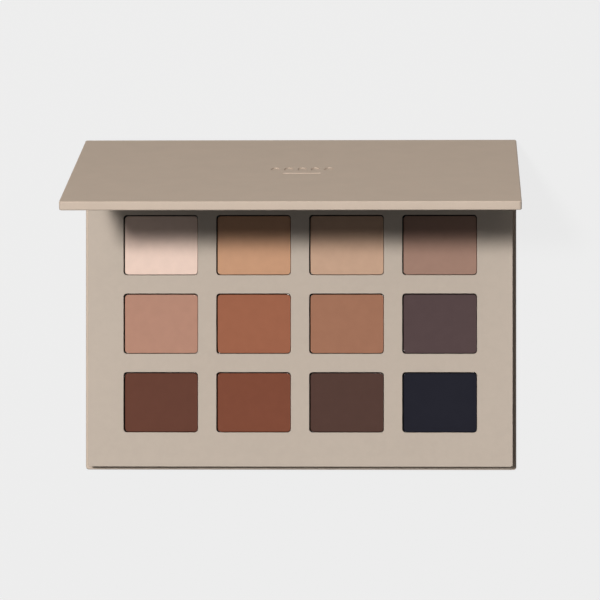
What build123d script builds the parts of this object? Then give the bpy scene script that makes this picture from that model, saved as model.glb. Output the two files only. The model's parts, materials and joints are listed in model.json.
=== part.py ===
from build123d import *
import math
import os

# Book-style eyeshadow palette: a paper-wrapped case of lid, spine and base boards around a tray of
# twelve pressed-powder pans. Millimetres. X runs along the hinge, -Y is the front, +Z is up.
# The origin is the middle of the base's underside. "Closed" places are used to work out the case;
# the case is stored open, turned back about the lower crease.

# ---------------------------------------------------------------- driving dimensions
# Pan grid and the margins of the tray's face around it
COLUMNS = 4
ROWS = 3
WINDOW_WIDTH = 26.0
WINDOW_DEPTH = 21.0
WINDOW_CORNER = 1.2
WINDOW_GAP = 6.4
SIDE_MARGIN = 12.4
FRONT_MARGIN = 11.95
BACK_MARGIN = 11.5

# Case: greyboard cores, cover paper outside and turned in, liner paper inside
BOARD = 2.0  # base and spine
LID_BOARDS = 2.5  # the lid's two boards together
WRAP = 0.25
LINER = 0.15
TURN_IN = 8.0
LINER_INSET = 2.5
SIDE_SQUARE = 1.35  # how far the boards stand out past the tray, each side
FRONT_SQUARE = 1.3
BACK_SQUARE = 0.0
BOARD_CORNER = 1.0
EDGE_ROUND = 0.35
TURNED_EDGE_ROUND = 0.5  # where the paper is pulled over to a board's inner side

# Tray block
TRAY_HEIGHT = 6.6  # face above the base board's inner side
FACE_CARD = 0.4
CELL_DEPTH = 4.7
CELL_CLEARANCE = 0.2  # cell wall behind the window's edge
TRAY_CORNER = 0.8
FACE_EDGE_ROUND = 0.2
WINDOW_EDGE_ROUND = 0.12

# Pans, powders and the pads that hold the pans
PAN_CLEARANCE = 0.28  # window edge to pan
PAN_PLACE = (0.16, -0.1)  # the pans lie towards the right and the front of their cells
PAN_WALL = 0.25
PAN_HEIGHT = 4.0
PAN_BOTTOM_ROUND = 0.25
PAD_THICKNESS = 0.2
PAD_WIDTH = 16.0
PAD_DEPTH = 12.0
POWDER_PROUD = 0.3  # pressed face above the pan's rim
POWDER_LAP = 0.05  # rim left bare outside the pressed face
POWDER_ROUND = 0.22

# Mirror and its tape, let into the lid
MIRROR_THICKNESS = 1.15
TAPE_THICKNESS = 0.15
TAPE_INSET = 6.0
MIRROR_CLEARANCE = 0.4
MIRROR_CORNER = 2.0
MIRROR_SIDE_MARGIN = 9.0
MIRROR_BACK_MARGIN = 10.0
MIRROR_FRONT_MARGIN = 13.5
MIRROR_LIP = 1.2  # liner over the mirror's edge

# Closing magnets
MAGNET_RADIUS = 4.0
TRAY_MAGNET_HEIGHT = 2.0
LID_MAGNET_HEIGHT = 1.2
MAGNET_CLEARANCE = 0.1
MAGNET_SPREAD = 90.0  # between the left and the right magnet

# Mark pressed into the lid: a row of ovals over a short bar, placed from the lid's middle
MARK_PLACE = (2.3, 1.7)
OVALS = 5
OVAL_WIDTH = 3.0
OVAL_LENGTH = 6.6
OVAL_GAP = 1.5
BAR_WIDTH = 13.0
BAR_LENGTH = 1.4
BAR_GAP = 2.4
BAR_CORNER = 0.6
MARK_DEPTH = 0.3
MARK_WALL = 0.2  # paper and board pressed aside round each shape

# Creases and the way the case stands open
LID_CLEARANCE = 0.3  # closed lid's liner above the tray's face
SPINE_CLEARANCE = 0.3  # closed spine's liner behind the tray
CREASE_STEP = 0.5  # crease line to the spine board's end
SPINE_REST_ANGLE = 13.5  # spine above the ground; the lid stands square to it

# ---------------------------------------------------------------- places worked out from them
CASE = WRAP + BOARD + WRAP
LID = WRAP + LID_BOARDS + WRAP
HINGE = WRAP + LINER
TRAY_WIDTH = COLUMNS * WINDOW_WIDTH + (COLUMNS - 1) * WINDOW_GAP + 2 * SIDE_MARGIN
TRAY_DEPTH = ROWS * WINDOW_DEPTH + (ROWS - 1) * WINDOW_GAP + FRONT_MARGIN + BACK_MARGIN
CASE_WIDTH = TRAY_WIDTH + 2 * SIDE_SQUARE
BOARD_DEPTH = FRONT_SQUARE + TRAY_DEPTH + BACK_SQUARE

BOARD_FRONT = -BOARD_DEPTH / 2
BOARD_BACK = BOARD_DEPTH / 2
TRAY_FRONT = BOARD_FRONT + FRONT_SQUARE
TRAY_BACK = BOARD_BACK - BACK_SQUARE

FACE_TOP = CASE + TRAY_HEIGHT
CARD_BOTTOM = FACE_TOP - FACE_CARD
CELL_FLOOR = CARD_BOTTOM - CELL_DEPTH
PAN_BOTTOM = CELL_FLOOR + PAD_THICKNESS
PAN_RIM = PAN_BOTTOM + PAN_HEIGHT

LID_INNER = FACE_TOP + LID_CLEARANCE + LINER  # closed lid: inner side of its wrap
LID_OUTER = LID_INNER + LID
FRAME_BOARD = MIRROR_THICKNESS + TAPE_THICKNESS
FRAME_TOP = LID_INNER + WRAP + FRAME_BOARD

SPINE_INNER = TRAY_BACK + SPINE_CLEARANCE + LINER
SPINE_OUTER = SPINE_INNER + CASE
LOWER_CREASE = (SPINE_OUTER - HINGE / 2, HINGE / 2)  # (y, z)
UPPER_CREASE_CLOSED = (SPINE_OUTER - HINGE / 2, LID_OUTER - HINGE / 2)
SPINE_LOW = LOWER_CREASE[1] + CREASE_STEP
SPINE_HIGH = UPPER_CREASE_CLOSED[1] - CREASE_STEP
OPENED_BY = 90.0 - SPINE_REST_ANGLE


def opened(shape):
    """A piece of the closed case, turned back with the spine about the lower crease."""
    y, z = LOWER_CREASE
    return Pos(0, y, z) * Rot(X=-OPENED_BY) * Pos(0, -y, -z) * shape


# ---------------------------------------------------------------- plain shapes
def block(width, front, back, bottom, top):
    """A box that is centred on X."""
    middle = Pos(0, (front + back) / 2, (bottom + top) / 2)
    return middle * Box(width, back - front, top - bottom)


def panel(width, front, back, bottom, top, corner):
    """A flat slab with its two front corners rounded in plan."""
    outline = Pos(0, (front + back) / 2) * Rectangle(width, back - front)
    outline = fillet(outline.vertices().group_by(Axis.Y)[0], corner)
    return extrude(Pos(0, 0, bottom) * outline, amount=top - bottom)


def rounded_slab(width, depth, bottom, top, corner, centre=(0, 0)):
    """A flat slab with all four corners rounded in plan."""
    outline = Pos(centre[0], centre[1], bottom) * RectangleRounded(width, depth, corner)
    return extrude(outline, amount=top - bottom)


def level_edges(shape, height):
    """The edges of a shape that lie at one height."""
    return shape.edges().filter_by(
        lambda e: abs(e.bounding_box().min.Z - height) < 1e-4
        and abs(e.bounding_box().max.Z - height) < 1e-4
    )


# ---------------------------------------------------------------- case boards
def board_wrap(outside, inside):
    """Cover paper round a board: the outer sheet, three edges, and the turn-in on the inner side."""
    low, high = min(outside, inside), max(outside, inside)
    inward = 1 if inside > outside else -1
    skin = panel(CASE_WIDTH, BOARD_FRONT, BOARD_BACK, low, high, BOARD_CORNER)
    for level, radius in ((outside, EDGE_ROUND), (inside, TURNED_EDGE_ROUND)):
        rims = [e for e in level_edges(skin, level) if e.center().Y < BOARD_BACK - 1e-4]
        skin = fillet(rims, radius)
    core = panel(
        CASE_WIDTH - 2 * WRAP,
        BOARD_FRONT + WRAP,
        BOARD_BACK + CASE,
        low + WRAP,
        high - WRAP,
        BOARD_CORNER - WRAP,
    )
    under_liner = sorted((inside - inward * WRAP, inside + inward * WRAP))
    opening = block(
        CASE_WIDTH - 2 * TURN_IN, BOARD_FRONT + TURN_IN, BOARD_BACK + CASE, *under_liner
    )
    return skin - core - opening


def core_board(bottom, top):
    """Greyboard that fills a wrap."""
    return panel(
        CASE_WIDTH - 2 * WRAP, BOARD_FRONT + WRAP, BOARD_BACK, bottom, top, BOARD_CORNER - WRAP
    )


def filler(inside, inward):
    """Paper that makes a board's inner side level between the turn-ins."""
    levels = sorted((inside - inward * WRAP, inside))
    return block(CASE_WIDTH - 2 * TURN_IN, BOARD_FRONT + TURN_IN, BOARD_BACK, *levels)


def end_cap(bottom, top):
    """Liner paper down the end of the base board or the lid, at its crease."""
    width = CASE_WIDTH - 2 * LINER_INSET
    return block(width, BOARD_BACK, BOARD_BACK + LINER, bottom, top)


def base_wrap():
    return board_wrap(outside=0, inside=CASE)


def base_board():
    return core_board(WRAP, WRAP + BOARD)


def base_filler():
    return filler(inside=CASE, inward=1)


def base_end_liner():
    return end_cap(HINGE, CASE)


# ---------------------------------------------------------------- lid, in its closed place
def mirror_outline():
    """Width, front and back of the mirror, in the closed lid."""
    width = CASE_WIDTH - 2 * MIRROR_SIDE_MARGIN
    return width, BOARD_FRONT + MIRROR_FRONT_MARGIN, BOARD_BACK - MIRROR_BACK_MARGIN


def mirror_slab(grow, bottom, top):
    """A slab of the mirror's outline, grown or shrunk all round."""
    width, front, back = mirror_outline()
    middle = (0, (front + back) / 2)
    corner = max(MIRROR_CORNER + grow, MIRROR_CORNER / 2)
    return rounded_slab(width + 2 * grow, back - front + 2 * grow, bottom, top, corner, middle)


def magnet_places():
    """Centres of the closing magnets, in the middle of the tray's front margin."""
    y = TRAY_FRONT + FRONT_MARGIN / 2
    return [(-MAGNET_SPREAD / 2, y), (MAGNET_SPREAD / 2, y)]


def magnet_discs(radius, bottom, top):
    """One disc at each magnet's place."""
    return [
        Pos(x, y, (bottom + top) / 2) * Cylinder(radius, top - bottom)
        for x, y in magnet_places()
    ]


def mark_outlines(grow):
    """The mark's shapes in plan, grown all round: ovals in a row, with a bar behind their middle."""
    pitch = OVAL_WIDTH + OVAL_GAP
    outlines = [
        Pos((n - (OVALS - 1) / 2) * pitch, 0)
        * Ellipse(OVAL_WIDTH / 2 + grow, OVAL_LENGTH / 2 + grow)
        for n in range(OVALS)
    ]
    bar_y = -(OVAL_LENGTH / 2 + BAR_GAP + BAR_LENGTH / 2)
    bar = RectangleRounded(BAR_WIDTH + 2 * grow, BAR_LENGTH + 2 * grow, BAR_CORNER + grow)
    return [Pos(*MARK_PLACE) * outline for outline in outlines + [Pos(0, bar_y) * bar]]


def mark_cuts(grow, depth):
    """Solids that reach from the closed lid's outer side down to a depth, one for each shape."""
    return [
        extrude(Pos(0, 0, LID_OUTER - depth) * outline, amount=depth)
        for outline in mark_outlines(grow)
    ]


def lid_wrap():
    """Cover paper of the lid, which follows the pressed mark down into the board."""
    wrap = board_wrap(outside=LID_OUTER, inside=LID_INNER)
    for cup in mark_cuts(MARK_WALL, MARK_DEPTH + WRAP):
        wrap += cup
    for hollow in mark_cuts(0, MARK_DEPTH):
        wrap -= hollow
    return opened(wrap)


def lid_outer_board():
    board = core_board(FRAME_TOP, LID_OUTER - WRAP)
    for cup in mark_cuts(MARK_WALL, MARK_DEPTH + WRAP):
        board -= cup
    return opened(board)


def lid_frame_board():
    """Inner board of the lid, die-cut for the mirror and the two magnets."""
    bottom = LID_INNER + WRAP
    board = core_board(bottom, FRAME_TOP)
    board -= mirror_slab(MIRROR_CLEARANCE, bottom, FRAME_TOP)
    for disc in magnet_discs(MAGNET_RADIUS + MAGNET_CLEARANCE, bottom, FRAME_TOP):
        board -= disc
    return opened(board)


def mirror():
    """Mirror glass, let into the inner board of the lid."""
    glass = mirror_slab(0, LID_INNER + WRAP, LID_INNER + WRAP + MIRROR_THICKNESS)
    return opened(glass)


def mirror_tape():
    return opened(mirror_slab(-TAPE_INSET, FRAME_TOP - TAPE_THICKNESS, FRAME_TOP))


def mirror_window(slab):
    """Cut out what would hide the mirror, all but a lip that holds the mirror's edge."""
    return slab - mirror_slab(-MIRROR_LIP, LID_INNER - 2 * LINER, LID_INNER + 2 * WRAP)


def lid_filler():
    return opened(mirror_window(filler(inside=LID_INNER, inward=-1)))


def lid_liner():
    """Liner paper over the lid's turn-ins, up to the mirror."""
    sheet = panel(
        CASE_WIDTH - 2 * LINER_INSET,
        BOARD_FRONT + LINER_INSET,
        BOARD_BACK,
        LID_INNER - LINER,
        LID_INNER,
        BOARD_CORNER,
    )
    end = end_cap(LID_INNER - LINER, LID_OUTER - HINGE)
    return opened(mirror_window(sheet) + end)


def lid_magnets():
    discs = magnet_discs(MAGNET_RADIUS, FRAME_TOP - LID_MAGNET_HEIGHT, FRAME_TOP)
    return Compound([opened(disc) for disc in discs])


# ---------------------------------------------------------------- spine, in its closed place
def spine_wrap():
    """Cover paper on the spine, turned in at its two ends."""
    skin = block(CASE_WIDTH, SPINE_INNER, SPINE_OUTER, SPINE_LOW, SPINE_HIGH)
    skin = fillet(skin.edges().filter_by(Axis.Z), EDGE_ROUND)
    core = block(
        CASE_WIDTH - 2 * WRAP, SPINE_INNER + WRAP, SPINE_OUTER - WRAP, SPINE_LOW, SPINE_HIGH
    )
    opening = block(
        CASE_WIDTH - 2 * TURN_IN, SPINE_INNER - WRAP, SPINE_INNER + WRAP, SPINE_LOW, SPINE_HIGH
    )
    return opened(skin - core - opening)


def spine_board():
    return opened(
        block(
            CASE_WIDTH - 2 * WRAP, SPINE_INNER + WRAP, SPINE_OUTER - WRAP, SPINE_LOW, SPINE_HIGH
        )
    )


def spine_filler():
    return opened(
        block(CASE_WIDTH - 2 * TURN_IN, SPINE_INNER, SPINE_INNER + WRAP, SPINE_LOW, SPINE_HIGH)
    )


def spine_liner():
    """Liner paper on the spine's inner side and down both of its ends."""
    width = CASE_WIDTH - 2 * LINER_INSET
    inner, outer = SPINE_INNER - LINER, SPINE_OUTER - HINGE
    sheet = block(width, inner, SPINE_INNER, SPINE_LOW - LINER, SPINE_HIGH + LINER)
    low_end = block(width, SPINE_INNER, outer, SPINE_LOW - LINER, SPINE_LOW)
    high_end = block(width, SPINE_INNER, outer, SPINE_HIGH, SPINE_HIGH + LINER)
    return opened(sheet + low_end + high_end)


# ---------------------------------------------------------------- paper hinges at the two creases
def crease_roll(y, z):
    """The rounded turn of a paper hinge, along a crease."""
    return Pos(0, y, z) * Rot(Y=90) * Cylinder(HINGE / 2, CASE_WIDTH)


def lower_hinge():
    """Paper from the base board's back edge, round the lower crease, to the spine."""
    y, z = LOWER_CREASE
    on_base = block(CASE_WIDTH, BOARD_BACK, y, 0, HINGE)
    on_spine = block(CASE_WIDTH, y - HINGE / 2, y + HINGE / 2, z, SPINE_LOW)
    return on_base + crease_roll(y, z) + opened(on_spine)


def upper_hinge():
    """Paper from the spine, round the upper crease, to the lid board's back edge."""
    y, z = UPPER_CREASE_CLOSED
    on_spine = block(CASE_WIDTH, y - HINGE / 2, y + HINGE / 2, SPINE_HIGH, z)
    on_lid = block(CASE_WIDTH, BOARD_BACK, y, z - HINGE / 2, z + HINGE / 2)
    return opened(on_spine + crease_roll(y, z) + on_lid)


# ---------------------------------------------------------------- tray
def cell_centres():
    """(row, column, x, y) of every pan: row 1 is at the back, column 1 on the left."""
    pitch_x = WINDOW_WIDTH + WINDOW_GAP
    pitch_y = WINDOW_DEPTH + WINDOW_GAP
    left = -(COLUMNS - 1) / 2 * pitch_x
    back = TRAY_BACK - BACK_MARGIN - WINDOW_DEPTH / 2
    return [
        (row + 1, column + 1, left + column * pitch_x, back - row * pitch_y)
        for row in range(ROWS)
        for column in range(COLUMNS)
    ]


def tray_outline(inset, bottom, top):
    """A slab of the tray's outline, inset all round."""
    middle = (0, (TRAY_FRONT + TRAY_BACK) / 2)
    return rounded_slab(
        TRAY_WIDTH - 2 * inset, TRAY_DEPTH - 2 * inset, bottom, top, TRAY_CORNER - inset, middle
    )


def tray_wrap():
    """Paper sleeve round the four sides of the tray."""
    hollow = tray_outline(WRAP, CASE, CARD_BOTTOM)
    return tray_outline(0, CASE, CARD_BOTTOM) - hollow


def tray_spacer():
    """Board that lifts the pans up to the tray's face."""
    return tray_outline(WRAP, CASE, CELL_FLOOR)


def cell_frame():
    """Die-cut board with one cell for each pan and two pockets for the magnets."""
    frame = tray_outline(WRAP, CELL_FLOOR, CARD_BOTTOM)
    for _, _, x, y in cell_centres():
        frame -= rounded_slab(
            WINDOW_WIDTH + 2 * CELL_CLEARANCE,
            WINDOW_DEPTH + 2 * CELL_CLEARANCE,
            CELL_FLOOR,
            CARD_BOTTOM,
            WINDOW_CORNER + CELL_CLEARANCE,
            (x, y),
        )
    radius = MAGNET_RADIUS + MAGNET_CLEARANCE
    for pocket in magnet_discs(radius, CARD_BOTTOM - TRAY_MAGNET_HEIGHT, CARD_BOTTOM):
        frame -= pocket
    return frame


def tray_magnets():
    return Compound(magnet_discs(MAGNET_RADIUS, CARD_BOTTOM - TRAY_MAGNET_HEIGHT, CARD_BOTTOM))


def face_card():
    """Printed card on top of the tray, with a window for each pan and soft pressed edges."""
    card = tray_outline(0, CARD_BOTTOM, FACE_TOP)
    card = fillet(level_edges(card, FACE_TOP), FACE_EDGE_ROUND)
    window = rounded_slab(WINDOW_WIDTH, WINDOW_DEPTH, CARD_BOTTOM, FACE_TOP, WINDOW_CORNER)
    for _, _, x, y in cell_centres():
        card -= Pos(x, y) * window
    tray_edge = TRAY_WIDTH / 2 - SIDE_MARGIN / 2
    window_rims = [
        e
        for e in level_edges(card, FACE_TOP)
        if abs(e.center().X) < tray_edge
        and TRAY_FRONT + FRONT_MARGIN / 2 < e.center().Y < TRAY_BACK - BACK_MARGIN / 2
    ]
    return fillet(window_rims, WINDOW_EDGE_ROUND)


# ---------------------------------------------------------------- pans and powders
PAN_WIDTH = WINDOW_WIDTH - 2 * PAN_CLEARANCE
PAN_DEPTH = WINDOW_DEPTH - 2 * PAN_CLEARANCE
PAN_CORNER = WINDOW_CORNER


def pan(place):
    """Drawn metal pan, open at the top."""
    shell = rounded_slab(PAN_WIDTH, PAN_DEPTH, PAN_BOTTOM, PAN_RIM, PAN_CORNER, place)
    shell = fillet(level_edges(shell, PAN_BOTTOM), PAN_BOTTOM_ROUND)
    hollow = rounded_slab(
        PAN_WIDTH - 2 * PAN_WALL,
        PAN_DEPTH - 2 * PAN_WALL,
        PAN_BOTTOM + PAN_WALL,
        PAN_RIM,
        PAN_CORNER - PAN_WALL,
        place,
    )
    return shell - hollow


def powder(place):
    """Pressed powder that fills a pan and laps over its rim, with a rounded edge."""
    filling = rounded_slab(
        PAN_WIDTH - 2 * PAN_WALL,
        PAN_DEPTH - 2 * PAN_WALL,
        PAN_BOTTOM + PAN_WALL,
        PAN_RIM,
        PAN_CORNER - PAN_WALL,
        place,
    )
    face = rounded_slab(
        PAN_WIDTH - 2 * POWDER_LAP,
        PAN_DEPTH - 2 * POWDER_LAP,
        PAN_RIM,
        PAN_RIM + POWDER_PROUD,
        PAN_CORNER - POWDER_LAP,
        place,
    )
    return filling + fillet(level_edges(face, PAN_RIM + POWDER_PROUD), POWDER_ROUND)


def pan_adhesive_pads():
    """A double-sided pad under each pan."""
    thickness = Pos(0, 0, CELL_FLOOR + PAD_THICKNESS / 2)
    pads = [
        thickness * Pos(x, y) * Box(PAD_WIDTH, PAD_DEPTH, PAD_THICKNESS)
        for _, _, x, y in cell_centres()
    ]
    return Compound(pads)


# ---------------------------------------------------------------- all nodes
def nodes():
    made = {
        "base_wrap": base_wrap(),
        "base_board": base_board(),
        "base_filler": base_filler(),
        "base_end_liner": base_end_liner(),
        "lower_hinge": lower_hinge(),
        "spine_wrap": spine_wrap(),
        "spine_board": spine_board(),
        "spine_filler": spine_filler(),
        "spine_liner": spine_liner(),
        "upper_hinge": upper_hinge(),
        "lid_wrap": lid_wrap(),
        "lid_outer_board": lid_outer_board(),
        "lid_frame_board": lid_frame_board(),
        "lid_filler": lid_filler(),
        "lid_liner": lid_liner(),
        "lid_magnets": lid_magnets(),
        "mirror": mirror(),
        "mirror_tape": mirror_tape(),
        "tray_wrap": tray_wrap(),
        "tray_spacer": tray_spacer(),
        "cell_frame": cell_frame(),
        "tray_magnets": tray_magnets(),
        "face_card": face_card(),
        "pan_adhesive_pads": pan_adhesive_pads(),
    }
    for row, column, x, y in cell_centres():
        place = (x + PAN_PLACE[0], y + PAN_PLACE[1])
        made[f"pan_r{row}_c{column}"] = pan(place)
        made[f"powder_r{row}_c{column}"] = powder(place)
    return made


def upper_crease_at_rest():
    """(y, z) of the upper crease with the case standing open."""
    rise = math.radians(SPINE_REST_ANGLE)
    length = UPPER_CREASE_CLOSED[1] - LOWER_CREASE[1]
    return LOWER_CREASE[0] + length * math.cos(rise), LOWER_CREASE[1] + length * math.sin(rise)


os.makedirs("parts", exist_ok=True)
for name, shape in nodes().items():
    export_step(shape, f"parts/{name}.step")
print("case", CASE_WIDTH, "x", BOARD_DEPTH, "x", LID_OUTER, "closed")
print("lower crease (y, z)", LOWER_CREASE)
print("upper crease (y, z)", upper_crease_at_rest())
print("face top", FACE_TOP, "tray", TRAY_WIDTH, "x", TRAY_DEPTH)
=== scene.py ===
import json
import math

import bmesh
import bpy
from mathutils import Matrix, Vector, noise


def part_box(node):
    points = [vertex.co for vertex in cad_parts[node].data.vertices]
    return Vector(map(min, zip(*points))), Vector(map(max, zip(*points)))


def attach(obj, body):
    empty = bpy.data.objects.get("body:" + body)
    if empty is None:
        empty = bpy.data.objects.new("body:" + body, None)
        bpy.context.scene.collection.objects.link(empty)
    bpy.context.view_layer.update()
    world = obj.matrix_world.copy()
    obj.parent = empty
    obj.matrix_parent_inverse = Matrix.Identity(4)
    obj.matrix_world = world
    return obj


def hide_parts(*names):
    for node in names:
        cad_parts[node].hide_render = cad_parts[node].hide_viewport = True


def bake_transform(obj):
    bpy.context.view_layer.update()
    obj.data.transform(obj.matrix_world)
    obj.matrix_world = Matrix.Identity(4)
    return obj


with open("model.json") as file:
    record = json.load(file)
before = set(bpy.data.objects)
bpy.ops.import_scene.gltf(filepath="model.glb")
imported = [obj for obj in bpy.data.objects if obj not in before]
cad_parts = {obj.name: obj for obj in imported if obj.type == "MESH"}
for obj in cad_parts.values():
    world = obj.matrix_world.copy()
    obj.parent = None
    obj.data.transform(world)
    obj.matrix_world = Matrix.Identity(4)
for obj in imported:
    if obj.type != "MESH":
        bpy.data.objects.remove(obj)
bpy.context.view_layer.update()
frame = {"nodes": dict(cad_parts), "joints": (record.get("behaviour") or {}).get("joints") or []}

MM = 0.001
SEED = 20260

# Paper over the creases
CREASE_STEP = 0.5 * MM  # crease line to the spine board's end
HINGE_NIP = 0.45 * MM  # how far the paper's ends are drawn in at the crease
NIP_REACH = 1.1 * MM
BEND_REACH = 0.42 * MM  # paper on each side of the crease line; its reach is worked out but nothing uses it
HINGE_STATIONS = [0.0, 0.25, 0.45, 0.62, 0.76, 0.86, 0.93, 1.0]  # from a board's end to the crease
HINGE_ARC_STEPS = 8
HINGE_LENGTH_STEPS = 40

# Pressed powder
CAKE_CORNER = 1.2 * MM
LEAST_CORNER = 0.25 * MM
CAKE_BODY_INSET = 0.27 * MM  # inside the pan's wall
CAKE_EDGE_ROUND = 0.24 * MM
CAKE_EDGE_FOOT = 0.16  # shares of the crown's height
CAKE_EDGE_RISE = 0.68
CAKE_EDGE_STEPS = 6
CAKE_FACE_RINGS = ((0.5, 0.87), (0.9, 0.89), (1.6, 0.9), (3.0, 0.91), (5.0, 0.92), (8.5, 0.925))
CRUMBLY_EDGE = 1.4 * MM
CRUMB_HEIGHT = 0.022
SWAY_HEIGHT = 0.018


# ------------------------------------------------------------------ sockets and shader sums
class Number:
    """A number that a finish works out, so that sums on it are written as Python."""

    def __init__(self, finish, socket):
        self.finish = finish
        self.socket = socket

    def sum(self, operation, *values, clamp=False):
        settings = {"operation": operation, "use_clamp": clamp}
        return self.finish.node("ShaderNodeMath", settings, values).number()

    def __add__(self, other):
        return self.sum("ADD", self, other)

    def __radd__(self, other):
        return self.sum("ADD", other, self)

    def __mul__(self, other):
        return self.sum("MULTIPLY", self, other)

    def __rmul__(self, other):
        return self.sum("MULTIPLY", other, self)

    def clamped(self):
        return self.sum("ADD", self, 0.0, clamp=True)


class Made:
    """A node that has been added, with short ways to its outputs."""

    def __init__(self, finish, node):
        self.finish = finish
        self.node = node

    def number(self, name=0):
        return Number(self.finish, self.node.outputs[name])

    def out(self, name=0):
        return self.node.outputs[name]


class Shading:
    """Nodes under construction in one tree, which starts out empty."""

    def __init__(self, tree):
        self.tree = tree
        self.tree.nodes.clear()

    def node(self, kind, settings=None, values=()):
        """Add a node: its settings first, then the values or links of its sockets."""
        node = self.tree.nodes.new(kind)
        for name, value in (settings or {}).items():
            setattr(node, name, value)
        pairs = values.items() if isinstance(values, dict) else enumerate(values)
        for name, value in pairs:
            self.feed(node.inputs[name], value)
        return Made(self, node)

    def feed(self, socket, value):
        source = value.socket if isinstance(value, Number) else value
        if isinstance(source, bpy.types.NodeSocket):
            self.tree.links.new(source, socket)
        else:
            socket.default_value = source

    def mixed(self, share, first, second):
        """From the first colour to the second, by a share from 0 to 1."""
        settings = {"data_type": "RGBA", "blend_type": "MIX"}
        values = {0: share, 6: first, 7: second}
        return self.node("ShaderNodeMix", settings, values).out(2)


class Finish(Shading):
    """A material under construction: one Principled shader and what feeds it."""

    def __init__(self, name, **constants):
        self.material = bpy.data.materials.new(name)
        self.material.use_nodes = True
        super().__init__(self.material.node_tree)
        self.shader = self.node("ShaderNodeBsdfPrincipled").node
        self.node("ShaderNodeOutputMaterial", {}, {"Surface": self.shader.outputs[0]})
        for socket, value in constants.items():
            self.shader.inputs[socket.replace("_", " ")].default_value = value
        self.place = self.node("ShaderNodeTexCoord").out("Object")

    def set(self, **values):
        for name, value in values.items():
            self.feed(self.shader.inputs[name.replace("_", " ")], value)

    def scaled(self, x, y, z):
        """The surface's place, stretched along each axis."""
        settings = {"vector_type": "POINT"}
        return self.node("ShaderNodeMapping", settings, {0: self.place, 3: (x, y, z)}).out()

    def grain(self, size, detail=2.0, roughness=0.5, place=None):
        """Soft noise from 0 to 1, whose features are about one size, in metres."""
        values = {
            "Vector": self.place if place is None else place,
            "Scale": 1.0 / size,
            "Detail": detail,
            "Roughness": roughness,
        }
        return self.node("ShaderNodeTexNoise", {}, values).number(0)

    def between(self, low, high, number):
        """0 where a number is under low, 1 where it is over high."""
        settings = {"interpolation_type": "SMOOTHSTEP", "clamp": True}
        return self.node("ShaderNodeMapRange", settings, [number, low, high, 0.0, 1.0]).number()

    def bumped(self, height, depth):
        """A bump whose height runs from 0 to 1 over a depth in metres."""
        values = {"Strength": 1.0, "Distance": depth, "Height": height}
        return self.node("ShaderNodeBump", {}, values).out()


def shade(red, green, blue):
    """A colour given as it looks, from 0 to 255, as linear light."""
    parts = [channel / 255 for channel in (red, green, blue)]
    linear = [p / 12.92 if p <= 0.04045 else ((p + 0.055) / 1.055) ** 2.4 for p in parts]
    return (*linear, 1.0)


def toned(colour, factor):
    """A colour made lighter or darker."""
    return (*[min(1.0, channel * factor) for channel in colour[:3]], 1.0)


# ------------------------------------------------------------------ colours
FLOOR_PAINT = (0.035, 0.035, 0.035, 1.0)
FLOOR_GLOW = (0.808, 0.808, 0.808, 1.0)
LEFT_GLOW = (0.27, 0.27, 0.27, 1.0)
RIGHT_GLOW = (0.03, 0.03, 0.03, 1.0)

COVER = shade(189, 172, 156)
CARD = shade(179, 165, 151)
GREYBOARD = shade(118, 110, 100), shade(152, 144, 133), shade(88, 80, 72)
# Painted shade: a board much darker than plain greyboard, so the gaps round the pans look deeper in
# shade
GAP_SHADE_BOARD = shade(34, 30, 27), shade(48, 43, 38), shade(66, 60, 54)
WHITE = (1.0, 1.0, 1.0)
WARM_WHITE = (1.0, 0.93, 0.84)

# The twelve shades, back row first, left to right, as they look in even light
SHADES = [
    [(226, 199, 184), (191, 146, 115), (189, 155, 131), (154, 122, 107)],
    [(173, 130, 111), (150, 94, 70), (154, 108, 85), (81, 65, 65)],
    [(96, 59, 47), (119, 69, 51), (79, 56, 49), (30, 30, 39)],
]


# ------------------------------------------------------------------ finishes
def soft_touch_paper(name, colour, grain_depth=6e-6):
    """Dyed paper with a soft-touch film: a felt-like grain, faint fibres and little shine."""
    finish = Finish(name, IOR=1.4, Specular_IOR_Level=0.3)
    felt = finish.grain(0.16 * MM, detail=3.0, roughness=0.6)
    fibres = finish.grain(0.5 * MM, detail=2.0, place=finish.scaled(1.0, 0.16, 1.0))
    cloud = finish.grain(9 * MM, detail=3.0, roughness=0.55)
    tone = finish.between(0.25, 0.75, cloud * 0.5 + felt * 0.3 + fibres * 0.2)
    finish.set(
        Base_Color=finish.mixed(tone, toned(colour, 0.965), toned(colour, 1.035)),
        Roughness=0.68 + 0.08 * felt + 0.06 * cloud,
        Normal=finish.bumped(felt * 0.7 + fibres * 0.3, grain_depth),
    )
    return finish.material


def printed_card(name, colour):
    """Card with a flat print and a matte film, smoother than the cover."""
    finish = Finish(name, IOR=1.45, Specular_IOR_Level=0.25)
    tooth = finish.grain(0.12 * MM, detail=2.0)
    mottle = finish.grain(2.6 * MM, detail=4.0, roughness=0.6)
    cloud = finish.grain(22 * MM, detail=2.0)
    tone = finish.between(0.3, 0.7, mottle * 0.55 + cloud * 0.3 + tooth * 0.15)
    finish.set(
        Base_Color=finish.mixed(tone, toned(colour, 0.975), toned(colour, 1.025)),
        Roughness=0.56 + 0.08 * tooth + 0.05 * mottle,
        Normal=finish.bumped(tooth * 0.6 + mottle * 0.4, 5e-6),
    )
    return finish.material


def greyboard_finish(name, dark, light, fleck):
    """Recycled board: layered along its edge, with flecks."""
    finish = Finish(name, IOR=1.45)
    plies = finish.grain(0.35 * MM, detail=3.0, place=finish.scaled(0.12, 0.12, 1.0))
    flecks = finish.between(0.62, 0.74, finish.grain(0.4 * MM, detail=2.0))
    base = finish.mixed(plies, dark, light)
    finish.set(
        Base_Color=finish.mixed(flecks * 0.5, base, fleck),
        Roughness=0.82 + 0.12 * plies,
        Normal=finish.bumped(plies, 3e-5),
    )
    return finish.material


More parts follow.
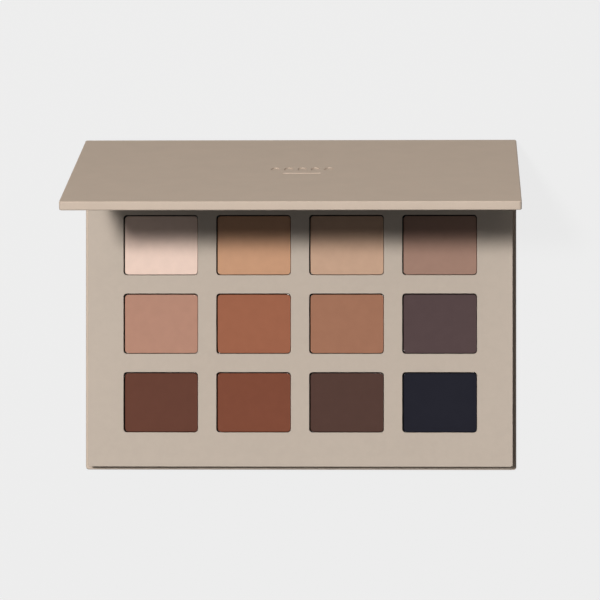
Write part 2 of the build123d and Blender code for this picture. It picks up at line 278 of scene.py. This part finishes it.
def tinplate():
    """Drawn tin: bright, with faint drawing lines and a slightly cloudy coating."""
    finish = Finish("tinplate", Metallic=1.0, Anisotropic=0.2)
    lines = finish.grain(0.08 * MM, detail=2.0, place=finish.scaled(1.0, 1.0, 0.05))
    cloud = finish.grain(1.5 * MM, detail=3.0)
    finish.set(
        Base_Color=finish.mixed(cloud, shade(176, 174, 170), shade(206, 204, 200)),
        Roughness=0.24 + 0.16 * cloud + 0.08 * lines,
        Normal=finish.bumped(lines, 2e-6),
    )
    return finish.material


def silvered_glass():
    """Mirror glass with a trace of dust and handling."""
    finish = Finish("silvered_glass", Metallic=1.0)
    smear = finish.grain(14 * MM, detail=4.0, roughness=0.6, place=finish.scaled(1.0, 0.4, 0.4))
    dust = finish.between(0.7, 0.86, finish.grain(0.35 * MM, detail=1.0))
    finish.set(
        Base_Color=finish.mixed(dust * 0.35, shade(236, 240, 240), shade(200, 200, 196)),
        Roughness=0.012 + 0.03 * finish.between(0.45, 0.8, smear) + 0.06 * dust,
    )
    return finish.material


def magnet_finish():
    """Nickel-plated magnet, lightly scuffed."""
    finish = Finish("nickel_plate", Metallic=1.0)
    scuffs = finish.grain(0.6 * MM, detail=4.0, place=finish.scaled(1.0, 0.15, 1.0))
    finish.set(
        Base_Color=finish.mixed(scuffs, shade(186, 184, 178), shade(208, 206, 200)),
        Roughness=0.22 + 0.2 * scuffs,
        Normal=finish.bumped(scuffs, 4e-6),
    )
    return finish.material


def adhesive_finish():
    """Milky double-sided tape over a fine scrim."""
    finish = Finish("adhesive", IOR=1.48)
    weave = finish.grain(0.5 * MM, detail=2.0, place=finish.scaled(1.0, 0.2, 1.0))
    finish.set(
        Base_Color=finish.mixed(weave, shade(214, 208, 196), shade(232, 228, 218)),
        Roughness=0.4 + 0.2 * weave,
        Normal=finish.bumped(weave, 1e-5),
    )
    return finish.material


def pressed_powder_finish(name, colour):
    """Pressed powder: a dry, very matte face with fine pigment specks and the press cloth's grain."""
    finish = Finish(name, IOR=1.38, Specular_IOR_Level=0.15)
    dust = finish.grain(0.07 * MM, detail=3.0, roughness=0.7)
    soft = finish.grain(3.2 * MM, detail=3.0, roughness=0.5)
    specks = finish.between(0.68, 0.8, finish.grain(0.16 * MM, detail=1.0))
    cloth = finish.grain(0.22 * MM, detail=2.0, place=finish.scaled(1.0, 0.55, 1.0))
    tone = finish.between(0.2, 0.8, dust * 0.45 + soft * 0.55)
    powder = finish.mixed(tone, toned(colour, 0.95), toned(colour, 1.05))
    finish.set(
        Base_Color=finish.mixed(specks * 0.35, powder, toned(colour, 1.35)),
        Roughness=0.86 + 0.1 * dust,
        Normal=finish.bumped(dust * 0.5 + cloth * 0.5, 1.4e-5),
    )
    return finish.material


def floor_finish(name, glow):
    """Plain pale studio surface that glows by itself."""
    finish = Finish(name, Roughness=0.9, Specular_IOR_Level=0.0, Emission_Strength=1.0)
    cloud = finish.grain(0.4, detail=1.0)
    finish.set(
        Base_Color=finish.mixed(cloud, FLOOR_PAINT, toned(FLOOR_PAINT, 1.04)),
        Emission_Color=glow,
    )
    return finish.material


# ------------------------------------------------------------------ measures from the frame
joints = {joint["name"]: joint for joint in frame["joints"]}
lower_crease = Vector(joints["spine_crease"]["pos_m"])
upper_crease = Vector(joints["lid_crease"]["pos_m"])
base_low, base_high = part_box("base_wrap")
spine_along = (upper_crease - lower_crease).normalized()
lid_along = Vector((0.0, -spine_along.z, spine_along.y))
HINGE_PAPER = 2 * lower_crease.z  # cover and liner paper together


# ------------------------------------------------------------------ meshes
def piece_from(name, bm, *finishes, smooth_angle=math.radians(35)):
    """Turn a bmesh into an object with its finishes, smooth but for its sharp edges."""
    bmesh.ops.recalc_face_normals(bm, faces=bm.faces)
    mesh = bpy.data.meshes.new(name)
    bm.to_mesh(mesh)
    bm.free()
    for finish in finishes:
        mesh.materials.append(finish)
    mesh.shade_smooth()
    mesh.set_sharp_from_angle(angle=smooth_angle)
    piece = bpy.data.objects.new(name, mesh)
    bpy.context.scene.collection.objects.link(piece)
    return piece


def across(along):
    """The direction from a board's outer side to its inner side, square to how the board runs."""
    return Vector((0.0, -along.z, along.y))


def hinge_sides(crease, before, after, reach_before, reach_after):
    """Where a paper hinge's outer and inner sides run, from one board round the crease to the next."""
    half = HINGE_PAPER / 2
    turn = before.angle(after)
    mitre = half * math.tan(turn / 2)
    outer, inner = [], []
    for share in HINGE_STATIONS:
        outer.append(crease - before * reach_before * (1 - share) - across(before) * half)
    for k in range(1, HINGE_ARC_STEPS):
        turned = across(before).lerp(across(after), k / HINGE_ARC_STEPS).normalized()
        outer.append(crease - turned * half)
    for share in reversed(HINGE_STATIONS):
        outer.append(crease + after * reach_after * (1 - share) - across(after) * half)
    for share in HINGE_STATIONS:
        reach = mitre + (reach_before - mitre) * (1 - share)
        inner.append(crease - before * reach + across(before) * half)
    for share in reversed(HINGE_STATIONS[:-1]):
        reach = mitre + (reach_after - mitre) * (1 - share)
        inner.append(crease + after * reach + across(after) * half)
    return outer, inner


def paper_hinge(name, node, crease, before, after, reach_before, reach_after):
    """Cover paper outside and liner paper inside a crease, shaped round it as the two boards stand."""
    low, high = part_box(node)
    outer, inner = hinge_sides(crease, before, after, reach_before, reach_after)
    bm = bmesh.new()
    steps = HINGE_LENGTH_STEPS
    sides = []
    for side in (outer, inner):
        rows = []
        for step in range(steps + 1):
            row = []
            for point in side:
                nip = HINGE_NIP * math.exp(-(((point - crease).length / NIP_REACH) ** 2))
                x = low.x + nip + (high.x - low.x - 2 * nip) * step / steps
                row.append(bm.verts.new((x, point.y, point.z)))
            rows.append(row)
        sides.append(rows)
        for near, far in zip(rows, rows[1:]):
            for k in range(len(side) - 1):
                face = bm.faces.new((near[k], near[k + 1], far[k + 1], far[k]))
                face.material_index = 0 if side is outer else 1
    for end in (0, -1):
        bm.faces.new(sides[0][end] + sides[1][end][::-1])
    for edge in (0, -1):
        for step in range(steps):
            corners = [sides[0][step], sides[0][step + 1], sides[1][step + 1], sides[1][step]]
            bm.faces.new([corner[edge] for corner in corners])
    strip = piece_from(name, bm, cover_paper, liner_paper)
    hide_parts(node)
    start, end = crease - before * BEND_REACH, crease + after * BEND_REACH
    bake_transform(strip)


def rounded_outline(width, depth, corner, per_corner):
    """Points round a rectangle with rounded corners, centred, anticlockwise."""
    points = []
    corners = [(1, 1, 0), (-1, 1, 90), (-1, -1, 180), (1, -1, 270)]
    for side_x, side_y, start in corners:
        centre_x = side_x * (width / 2 - corner)
        centre_y = side_y * (depth / 2 - corner)
        for k in range(per_corner + 1):
            angle = math.radians(start + 90 * k / per_corner)
            points.append((centre_x + corner * math.cos(angle), centre_y + corner * math.sin(angle)))
    return points


def filled_outline(width, depth, corner, per_corner, per_side):
    """The same outline with points added along its straight sides."""
    plain = rounded_outline(width, depth, corner, per_corner)
    points = []
    for here, there in zip(plain, plain[1:] + plain[:1]):
        points.append(here)
        if math.dist(here, there) > 4 * corner:
            for k in range(1, per_side):
                share = k / per_side
                x = here[0] + (there[0] - here[0]) * share
                y = here[1] + (there[1] - here[1]) * share
                points.append((x, y))
    return points


def powder_cake(row, column, material):
    """Pressed powder in its pan: a nearly flat face that laps the rim, with a soft, crumbly edge."""
    node = f"powder_r{row}_c{column}"
    low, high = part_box(node)
    centre = (low + high) / 2
    pan_low, pan_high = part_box(f"pan_r{row}_c{column}")
    width, depth = pan_high.x - pan_low.x, pan_high.y - pan_low.y
    rim = pan_high.z
    crown = high.z - rim
    seed = Vector((row * 7.3, column * 3.1, SEED * 0.01))
    bm = bmesh.new()
    rings = []
    for inset, rise in cake_profile():
        corner = max(CAKE_CORNER - inset, LEAST_CORNER)
        outline = filled_outline(width - 2 * inset, depth - 2 * inset, corner, 6, 22)
        edge = max(0.0, 1 - inset / CRUMBLY_EDGE)
        ring = []
        for x, y in outline:
            spot = Vector((x, y, 0.0))
            crumb = noise.noise(spot / (0.9 * MM) + seed) + noise.noise(spot / (0.3 * MM) + seed)
            sway = noise.noise(spot / (6 * MM) + seed)
            if rise is None:
                z = low.z
            else:
                uneven = (CRUMB_HEIGHT * crumb * edge + SWAY_HEIGHT * sway) * MM
                z = rim + crown * rise + uneven * min(1, 2 * rise)
            ring.append(bm.verts.new((centre.x + x, centre.y + y, min(z, high.z))))
        rings.append(ring)
    count = len(rings[0])
    for near, far in zip(rings, rings[1:]):
        for k in range(count):
            bm.faces.new((near[k], near[(k + 1) % count], far[(k + 1) % count], far[k]))
    bm.faces.new(rings[0][::-1])
    bm.faces.new(rings[-1])
    name = f"pressed_shade_r{row}_c{column}"
    cake = piece_from(name, bm, material, smooth_angle=math.radians(50))
    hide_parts(node)
    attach(cake, "base")


def cake_profile():
    """(inset, share of the crown's height) of each ring of a cake, from its foot to its middle."""
    rings = [(CAKE_BODY_INSET, None), (CAKE_BODY_INSET, 0.0), (0.0, 0.0), (0.0, CAKE_EDGE_FOOT)]
    for k in range(1, CAKE_EDGE_STEPS + 1):
        angle = math.radians(90 * k / CAKE_EDGE_STEPS)
        inset = CAKE_EDGE_ROUND * (1 - math.cos(angle))
        rings.append((inset, CAKE_EDGE_FOOT + CAKE_EDGE_RISE * math.sin(angle)))
    for inset, rise in CAKE_FACE_RINGS:
        rings.append((inset * MM, rise))
    return rings


# ------------------------------------------------------------------ carried-over nodes
def dress(material, *names):
    """Give CAD nodes their finish."""
    for name in names:
        node = frame["nodes"][name]
        node.data.materials.clear()
        node.data.materials.append(material)


cover_paper = soft_touch_paper("cover_paper", COVER)
card_print = printed_card("card_print", CARD)
liner_paper = soft_touch_paper("liner_paper", CARD, grain_depth=4e-6)
greyboard = greyboard_finish("greyboard", *GREYBOARD)
gap_shade_board = greyboard_finish("gap_shade_board", *GAP_SHADE_BOARD)
tin = tinplate()

dress(cover_paper, "base_wrap", "spine_wrap", "lid_wrap")
dress(card_print, "face_card", "tray_wrap")
dress(liner_paper, "lid_liner", "spine_liner", "base_end_liner")
dress(liner_paper, "lid_filler", "spine_filler", "base_filler")
dress(greyboard, "base_board", "spine_board", "lid_outer_board", "lid_frame_board")
# The cell frame and spacer get the darker board: painted shade in the gaps round the pans
dress(gap_shade_board, "tray_spacer", "cell_frame")
dress(silvered_glass(), "mirror")
dress(magnet_finish(), "lid_magnets", "tray_magnets")
dress(adhesive_finish(), "mirror_tape", "pan_adhesive_pads")
dress(tin, *[name for name in frame["nodes"] if name.startswith("pan_r")])

# ------------------------------------------------------------------ powders
for row, shades in enumerate(SHADES, start=1):
    for column, colour in enumerate(shades, start=1):
        name = f"powder_{row}_{column}"
        powder_cake(row, column, pressed_powder_finish(name, shade(*colour)))

# ------------------------------------------------------------------ paper over the creases
along_base = Vector((0.0, 1.0, 0.0))
hinge_reach = lower_crease.y - base_high.y
paper_hinge(
    "lower_crease_paper", "lower_hinge", lower_crease, along_base, spine_along,
    hinge_reach, CREASE_STEP,
)
paper_hinge(
    "upper_crease_paper", "upper_hinge", upper_crease, spine_along, lid_along,
    CREASE_STEP, hinge_reach,
)


# ------------------------------------------------------------------ stage, light and camera
def studio_floor():
    """A wide pale floor just under the palette."""
    bm = bmesh.new()
    bmesh.ops.create_grid(bm, x_segments=8, y_segments=8, size=4.0)
    floor = piece_from("studio_floor", bm, floor_finish("studio_sweep", FLOOR_GLOW))
    floor.location.z = -0.02 * MM
    floor.visible_diffuse = False


def softbox(name, place, aim, width, height, watts, colour=WHITE):
    """A rectangular lamp at a place, turned to an aim, both in metres."""
    lamp = bpy.data.lights.new(name, "AREA")
    lamp.shape = "RECTANGLE"
    lamp.size = width
    lamp.size_y = height
    lamp.energy = watts
    lamp.color = colour
    holder = bpy.data.objects.new(name, lamp)
    holder.location = place
    direction = Vector(aim) - Vector(place)
    holder.rotation_euler = direction.to_track_quat("-Z", "Y").to_euler()
    bpy.context.scene.collection.objects.link(holder)


def studio_dome():
    """A pale dome that the camera and reflections see, and that matte surfaces don't."""
    bm = bmesh.new()
    bmesh.ops.create_uvsphere(bm, u_segments=48, v_segments=24, radius=5.0)
    dome = piece_from("studio_dome", bm, floor_finish("studio_dome", FLOOR_GLOW))
    dome.visible_diffuse = False
    dome.visible_shadow = False


def studio_world():
    """Soft light from all round, stronger from the left."""
    world = bpy.data.worlds.new("studio_world")
    world.use_nodes = True
    light = Shading(world.node_tree)
    direction = light.node("ShaderNodeTexCoord").out("Generated")
    along_x = light.node("ShaderNodeSeparateXYZ", {}, [direction]).number("X")
    tint = light.mixed((along_x * 0.5 + 0.5).clamped(), LEFT_GLOW, RIGHT_GLOW)
    glow = light.node("ShaderNodeBackground", {}, {"Color": tint, "Strength": 1.0}).out()
    light.node("ShaderNodeOutputWorld", {}, {"Surface": glow})
    bpy.context.scene.world = world


studio_floor()
studio_dome()
studio_world()
bpy.context.scene.cycles.caustics_reflective = False
softbox("key", (-0.35, 0.232, 2.0), (0.0, 0.0, 0.01), 0.17, 0.17, 40.0)
softbox("back_fill", (0.0, 1.25, 0.32), (0.0, 0.05, 0.05), 0.9, 0.4, 3.7, WARM_WHITE)

camera = bpy.data.objects.new("camera", bpy.data.cameras.new("camera"))
camera.data.sensor_width = 36.0
camera.data.lens = 243.4
camera.data.clip_start = 0.05
camera.data.clip_end = 10.0
camera.location = (49.58 * MM, 5.28 * MM, 1421.3 * MM)
camera.rotation_euler = (0.0027, 0.0351, -0.0002)
bpy.context.scene.collection.objects.link(camera)
bpy.context.scene.camera = camera
bpy.context.scene.view_settings.view_transform = "Standard"
